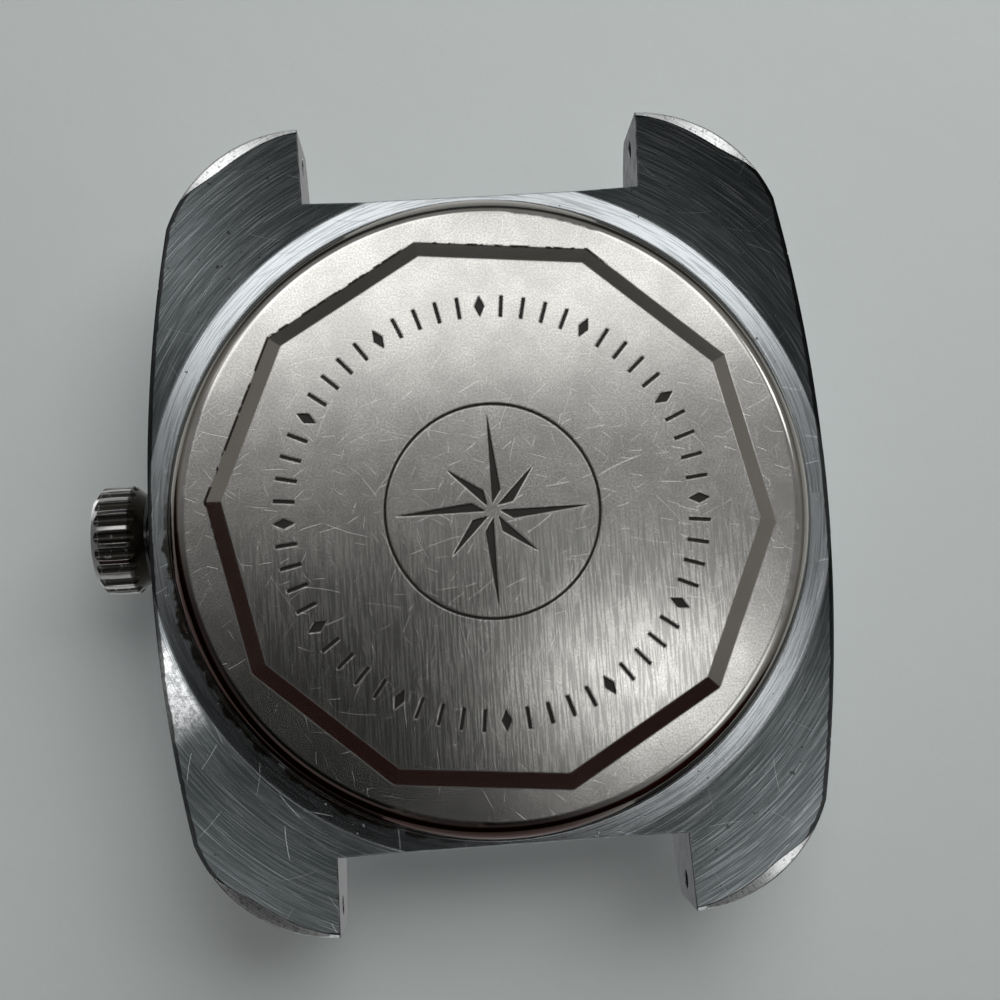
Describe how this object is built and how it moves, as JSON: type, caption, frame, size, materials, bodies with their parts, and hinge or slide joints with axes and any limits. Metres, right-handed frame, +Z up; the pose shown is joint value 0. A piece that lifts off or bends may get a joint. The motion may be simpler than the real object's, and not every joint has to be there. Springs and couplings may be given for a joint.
{
  "type": "wristwatch head",
  "caption": "Round wristwatch head with lugs, screwed ten-sided case back, winding crown, domed crystal, hands, date ring and a complete hand-wound movement inside.",
  "frame": {"origin": "centre of the ten-sided flat of the case back, its lowest face", "axes": "+Z up through the dial, +Y towards 12 o'clock, +X towards the crown at 3 o'clock"},
  "size_m": [0.0388, 0.0418, 0.0104],
  "materials": {
    "chromed_case": "chrome plate over base metal: polished shoulders, coarse turned undersides",
    "stainless_back": "stainless steel: straight brushed flat, polished slopes",
    "black_rubber": "moulded",
    "clear_crystal": "clear acrylic, polished",
    "bright_steel": "fine brushed",
    "chromed_crown": "chrome plate, worn",
    "spring_steel": "polished and hardened",
    "blue_steel": "blued",
    "gilt_brass": "gilt, fine grained",
    "nickel_plate": "nickel plated, straight grained",
    "ruby": "polished synthetic ruby",
    "dial_silver": "silvered, fine sunray",
    "dial_trim": "polished",
    "date_white": "matt white enamel, printed"
  },
  "bodies": {
    "watch": {"mid_case": "chromed_case", "case_back": "stainless_back", "back_gasket": "black_rubber", "crystal": "clear_crystal", "tension_ring": "bright_steel", "crown_tube": "bright_steel", "movement_ring": "nickel_plate", "casing_clamps": "bright_steel", "clamp_screws": "blue_steel", "dial": "dial_silver", "hour_markers": "dial_trim", "date_guard": "nickel_plate", "date_jumper": "bright_steel", "setting_lever_spring": "spring_steel", "mainplate": "nickel_plate", "barrel_bridge": "nickel_plate", "train_bridge": "nickel_plate", "balance_cock": "nickel_plate", "pallet_bridge": "nickel_plate", "regulator": "bright_steel", "jewels": "ruby", "bridge_screws": "blue_steel", "click_spring": "spring_steel", "hairspring": "blue_steel"},
    "crown_slider": {"crown_gasket": "black_rubber"},
    "crown": {"crown": "chromed_crown", "winding_stem": "bright_steel"},
    "sliding_pinion": {"sliding_pinion": "bright_steel"},
    "winding_pinion": {"winding_pinion": "gilt_brass"},
    "setting_lever": {"setting_lever": "bright_steel"},
    "yoke": {"yoke": "bright_steel"},
    "crown_wheel": {"crown_wheel": "bright_steel"},
    "ratchet": {"ratchet_wheel": "bright_steel", "ratchet_screw": "blue_steel", "barrel_arbor": "bright_steel"},
    "click": {"click": "bright_steel"},
    "seconds": {"fourth_wheel": "gilt_brass", "seconds_hand": "dial_trim"},
    "third": {"third_wheel": "gilt_brass"},
    "centre": {"centre_wheel": "gilt_brass"},
    "barrel": {"barrel": "gilt_brass", "barrel_cover": "gilt_brass", "mainspring": "spring_steel"},
    "escape": {"escape_wheel": "bright_steel"},
    "pallet": {"pallet_fork": "bright_steel"},
    "balance": {"balance_wheel": "gilt_brass", "balance_staff": "bright_steel"},
    "minutes": {"cannon_pinion": "bright_steel", "minute_hand": "dial_trim"},
    "minute_wheel": {"minute_wheel": "gilt_brass"},
    "hours": {"hour_wheel": "gilt_brass", "hour_hand": "dial_trim"},
    "setting_wheel": {"setting_wheel": "gilt_brass"},
    "intermediate_date": {"intermediate_date_wheel": "gilt_brass"},
    "date_driver": {"date_driving_wheel": "gilt_brass"},
    "date_ring": {"date_ring": "date_white"}
  },
  "joints": [
    {"name": "crown_pull", "type": "slide", "parent": "watch", "child": "crown_slider", "axis": [1, 0, 0], "range_m": [0, 0.00085]},
    {"name": "crown_turn", "type": "hinge", "parent": "crown_slider", "child": "crown", "pos_m": [0.01817, 0, 0.00406], "axis": [1, 0, 0], "continuous": true},
    {"name": "sliding_pinion_slide", "type": "slide", "parent": "crown", "child": "sliding_pinion", "axis": [1, 0, 0], "range_m": [-0.00155, 0]},
    {"name": "winding_pinion_turn", "type": "hinge", "parent": "watch", "child": "winding_pinion", "pos_m": [0.00944, 0, 0.00406], "axis": [1, 0, 0], "continuous": true},
    {"name": "setting_lever_turn", "type": "hinge", "parent": "watch", "child": "setting_lever", "pos_m": [0.01059, -0.0033, 0.004], "axis": [0, 0, 1], "range_deg": [-16, 0]},
    {"name": "yoke_turn", "type": "hinge", "parent": "watch", "child": "yoke", "pos_m": [0.00854, -0.00413, 0.004], "axis": [0, 0, 1], "range_deg": [0, 13.5]},
    {"name": "crown_wheel_turn", "type": "hinge", "parent": "watch", "child": "crown_wheel", "pos_m": [0.00757, 0, 0.004], "axis": [0, 0, 1], "continuous": true},
    {"name": "ratchet_turn", "type": "hinge", "parent": "watch", "child": "ratchet", "pos_m": [0.00326, 0.00564, 0.004], "axis": [0, 0, 1], "continuous": true},
    {"name": "click_turn", "type": "hinge", "parent": "watch", "child": "click", "pos_m": [-0.0021, 0.00759, 0.004], "axis": [0, 0, 1], "range_deg": [-8, 0]},
    {"name": "seconds_turn", "type": "hinge", "parent": "watch", "child": "seconds", "pos_m": [0, 0, 0.004], "axis": [0, 0, 1], "continuous": true},
    {"name": "third_turn", "type": "hinge", "parent": "watch", "child": "third", "pos_m": [-0.00181, -0.00387, 0.004], "axis": [0, 0, 1], "continuous": true},
    {"name": "centre_turn", "type": "hinge", "parent": "watch", "child": "centre", "pos_m": [0, 0, 0.004], "axis": [0, 0, 1], "continuous": true},
    {"name": "barrel_turn", "type": "hinge", "parent": "watch", "child": "barrel", "pos_m": [0.00326, 0.00564, 0.004], "axis": [0, 0, 1], "continuous": true},
    {"name": "escape_turn", "type": "hinge", "parent": "watch", "child": "escape", "pos_m": [-0.00431, -0.00023, 0.004], "axis": [0, 0, 1], "continuous": true},
    {"name": "pallet_swing", "type": "hinge", "parent": "watch", "child": "pallet", "pos_m": [-0.00487, 0.00189, 0.004], "axis": [0, 0, 1], "range_deg": [-5.5, 5.5]},
    {"name": "balance_swing", "type": "hinge", "parent": "watch", "child": "balance", "pos_m": [-0.00746, 0.00268, 0.004], "axis": [0, 0, 1], "range_deg": [-300, 0]},
    {"name": "minutes_turn", "type": "hinge", "parent": "watch", "child": "minutes", "pos_m": [0, 0, 0.004], "axis": [0, 0, 1], "continuous": true},
    {"name": "minute_wheel_turn", "type": "hinge", "parent": "watch", "child": "minute_wheel", "pos_m": [0.00288, 0, 0.004], "axis": [0, 0, 1], "continuous": true},
    {"name": "hours_turn", "type": "hinge", "parent": "watch", "child": "hours", "pos_m": [0, 0, 0.004], "axis": [0, 0, 1], "continuous": true},
    {"name": "setting_wheel_turn", "type": "hinge", "parent": "watch", "child": "setting_wheel", "pos_m": [0.00624, 0, 0.004], "axis": [0, 0, 1], "continuous": true},
    {"name": "intermediate_date_turn", "type": "hinge", "parent": "watch", "child": "intermediate_date", "pos_m": [-0.00158, -0.00433, 0.004], "axis": [0, 0, 1], "continuous": true},
    {"name": "date_driver_turn", "type": "hinge", "parent": "watch", "child": "date_driver", "pos_m": [-0.00264, -0.00726, 0.004], "axis": [0, 0, 1], "continuous": true},
    {"name": "date_ring_turn", "type": "hinge", "parent": "watch", "child": "date_ring", "pos_m": [0, 0, 0.004], "axis": [0, 0, 1], "continuous": true}
  ],
  "couplings": [
    {"joint": "sliding_pinion_slide", "follows": "crown_pull", "ratio": -1.8235},
    {"joint": "setting_lever_turn", "follows": "crown_pull", "rad_per_m": -317.88},
    {"joint": "yoke_turn", "follows": "crown_pull", "rad_per_m": 264.53},
    {"joint": "winding_pinion_turn", "follows": "crown_turn", "ratio": 1},
    {"joint": "crown_wheel_turn", "follows": "crown_turn", "ratio": 0.55556},
    {"joint": "ratchet_turn", "follows": "crown_turn", "ratio": -0.34091},
    {"joint": "third_turn", "follows": "seconds_turn", "ratio": -0.13333},
    {"joint": "centre_turn", "follows": "seconds_turn", "ratio": 0.016667},
    {"joint": "barrel_turn", "follows": "seconds_turn", "ratio": -0.002778},
    {"joint": "escape_turn", "follows": "seconds_turn", "ratio": -10},
    {"joint": "minute_wheel_turn", "follows": "minutes_turn", "ratio": -0.33333},
    {"joint": "hours_turn", "follows": "minutes_turn", "ratio": 0.083333},
    {"joint": "setting_wheel_turn", "follows": "minutes_turn", "ratio": 0.6},
    {"joint": "intermediate_date_turn", "follows": "minutes_turn", "ratio": -0.083333},
    {"joint": "date_driver_turn", "follows": "minutes_turn", "ratio": 0.041667}
  ]
}
